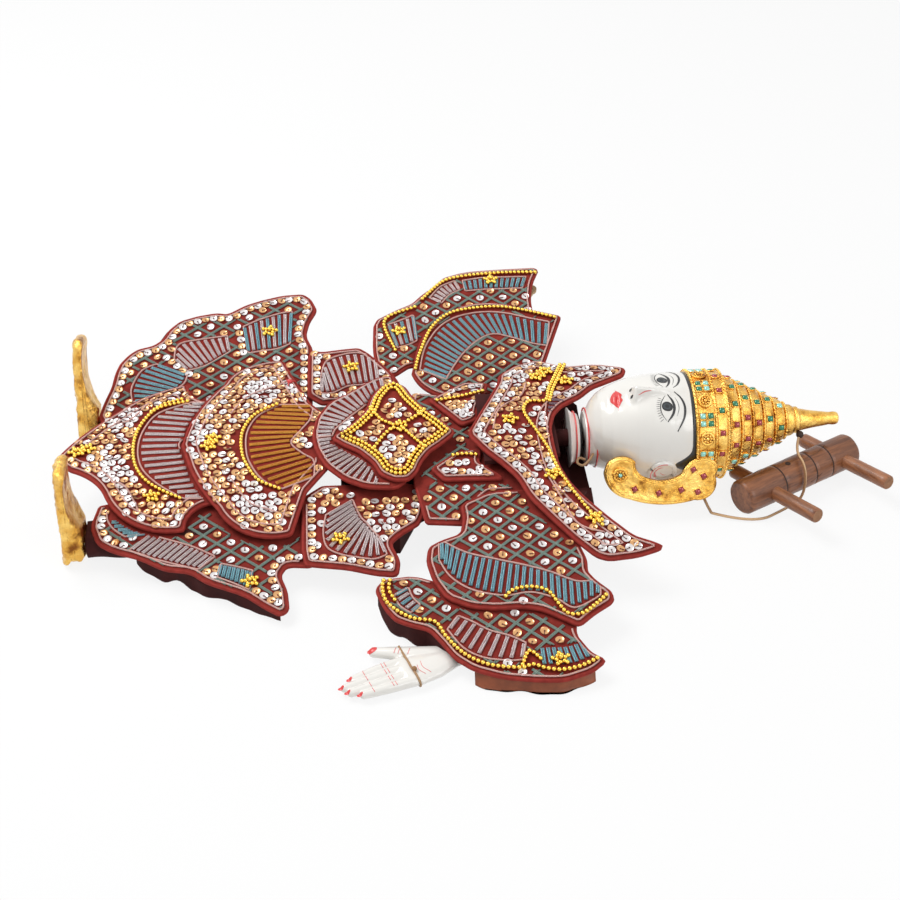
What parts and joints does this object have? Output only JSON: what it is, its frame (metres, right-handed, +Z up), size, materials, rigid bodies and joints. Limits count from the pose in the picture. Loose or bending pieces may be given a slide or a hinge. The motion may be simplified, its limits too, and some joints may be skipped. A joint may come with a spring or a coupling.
{
  "type": "string marionette",
  "caption": "Court-dress string puppet lying face up, jointed at neck, waist, shoulders, elbows, wrists, hips and knees, with its rolling control bar.",
  "frame": {"origin": "centre of the lying puppet's bounding box, on the surface it lies on", "axes": "+X toward the crown, +Z up out of the face, -Y to the puppet's left hand"},
  "size_m": [0.5543, 0.4022, 0.0843],
  "materials": {
    "wood": "matte",
    "bar_wood": "satin",
    "face_lacquer": "gloss",
    "hair_black": "gloss",
    "gold_leaf": "worn gold leaf",
    "velvet": "matte velvet, embroidered",
    "lining": "matte",
    "brass_wire": "satin",
    "cord": "matte"
  },
  "bodies": {
    "torso": {"chest_block": "wood", "shoulder_pin_left": "brass_wire", "shoulder_pin_right": "brass_wire", "bodice": "velvet", "collar_pad": "velvet", "waist_strap_left": "velvet", "waist_strap_right": "velvet", "collar": "velvet", "medallion": "velvet", "neck_yoke": "face_lacquer"},
    "neck": {"neck_peg": "face_lacquer"},
    "head": {"head": "face_lacquer", "hair_band": "hair_black", "crown_band": "gold_leaf", "crown_tiers": "gold_leaf", "crown_spire": "gold_leaf", "ear_ornament_left": "gold_leaf", "ear_ornament_right": "gold_leaf", "head_string": "cord"},
    "control": {"control_bar": "bar_wood", "bar_dowel_inner": "bar_wood", "bar_dowel_outer": "bar_wood"},
    "pelvis": {"pelvis_block": "wood", "waist_pin": "brass_wire", "hip_pin_left": "brass_wire", "hip_pin_right": "brass_wire", "apron_lower": "velvet", "apron_middle": "velvet", "apron_upper": "velvet", "hip_flap_left": "velvet", "hip_flap_right": "velvet"},
    "thigh_left": {"thigh_left": "lining", "knee_pin_left": "brass_wire", "thigh_wing_left": "velvet"},
    "shin_left": {"shin_left": "wood", "trouser_left": "lining", "shin_wing_left": "velvet", "shoe_left": "gold_leaf"},
    "upper_arm_left": {"upper_arm_left": "wood", "elbow_pin_left": "brass_wire", "sleeve_left": "velvet"},
    "forearm_left": {"forearm_left": "wood", "cuff_left": "velvet"},
    "hand_left": {"hand_left": "face_lacquer"},
    "thigh_right": {"thigh_right": "lining", "knee_pin_right": "brass_wire", "thigh_wing_right": "velvet"},
    "shin_right": {"shin_right": "wood", "trouser_right": "lining", "shin_wing_right": "velvet", "shoe_right": "gold_leaf"},
    "upper_arm_right": {"upper_arm_right": "wood", "elbow_pin_right": "brass_wire", "sleeve_right": "velvet"},
    "forearm_right": {"forearm_right": "wood", "cuff_right": "velvet"},
    "hand_right": {"hand_right": "face_lacquer"}
  },
  "joints": [
    {"name": "neck_turn", "type": "hinge", "parent": "torso", "child": "neck", "pos_m": [0.0889, 0.0055, 0.034], "axis": [1, 0, 0], "range_deg": [-25, 25]},
    {"name": "neck_nod", "type": "hinge", "parent": "neck", "child": "head", "pos_m": [0.0889, 0.0055, 0.034], "axis": [0, -1, 0], "range_deg": [-10, 10]},
    {"name": "bar_rock", "type": "hinge", "parent": "head", "child": "control", "pos_m": [0.1745, -0.0415, 0.012], "axis": [-0.8729, -0.4879, 0], "range_deg": [0, 40]},
    {"name": "waist_bend", "type": "hinge", "parent": "torso", "child": "pelvis", "pos_m": [-0.0191, 0.0055, 0.014], "axis": [0, -1, 0], "range_deg": [0, 30]},
    {"name": "hip_left", "type": "hinge", "parent": "pelvis", "child": "thigh_left", "pos_m": [-0.0651, -0.0525, 0.013], "axis": [0, -1, 0], "range_deg": [0, 40]},
    {"name": "knee_left", "type": "hinge", "parent": "thigh_left", "child": "shin_left", "pos_m": [-0.1541, -0.0525, 0.013], "axis": [0, -1, 0], "range_deg": [0, 75]},
    {"name": "shoulder_left", "type": "hinge", "parent": "torso", "child": "upper_arm_left", "pos_m": [0.0549, -0.04258, 0.02254], "axis": [0, -0.1392, 0.9903], "range_deg": [0, 25]},
    {"name": "elbow_left", "type": "hinge", "parent": "upper_arm_left", "child": "forearm_left", "pos_m": [0.03093, -0.10134, 0.01428], "axis": [0, -0.1392, 0.9903], "range_deg": [-3, 35]},
    {"name": "wrist_left", "type": "hinge", "parent": "forearm_left", "child": "hand_left", "pos_m": [-0.01845, -0.16864, 0.00482], "axis": [0, 0, 1], "range_deg": [-12, 25]},
    {"name": "hip_right", "type": "hinge", "parent": "pelvis", "child": "thigh_right", "pos_m": [-0.0651, 0.0635, 0.013], "axis": [0, -1, 0], "range_deg": [0, 40]},
    {"name": "knee_right", "type": "hinge", "parent": "thigh_right", "child": "shin_right", "pos_m": [-0.1541, 0.0635, 0.013], "axis": [0, -1, 0], "range_deg": [0, 75]},
    {"name": "shoulder_right", "type": "hinge", "parent": "torso", "child": "upper_arm_right", "pos_m": [0.0549, 0.05866, 0.01956], "axis": [0, 0.2079, -0.9781], "range_deg": [0, 25]},
    {"name": "elbow_right", "type": "hinge", "parent": "upper_arm_right", "child": "forearm_right", "pos_m": [0.01819, 0.10994, 0.03046], "axis": [0, 0.2079, -0.9781], "range_deg": [0, 35]},
    {"name": "wrist_right", "type": "hinge", "parent": "forearm_right", "child": "hand_right", "pos_m": [0.06019, 0.1811, 0.04558], "axis": [0, 0.2079, -0.9781], "range_deg": [0, 35]}
  ]
}
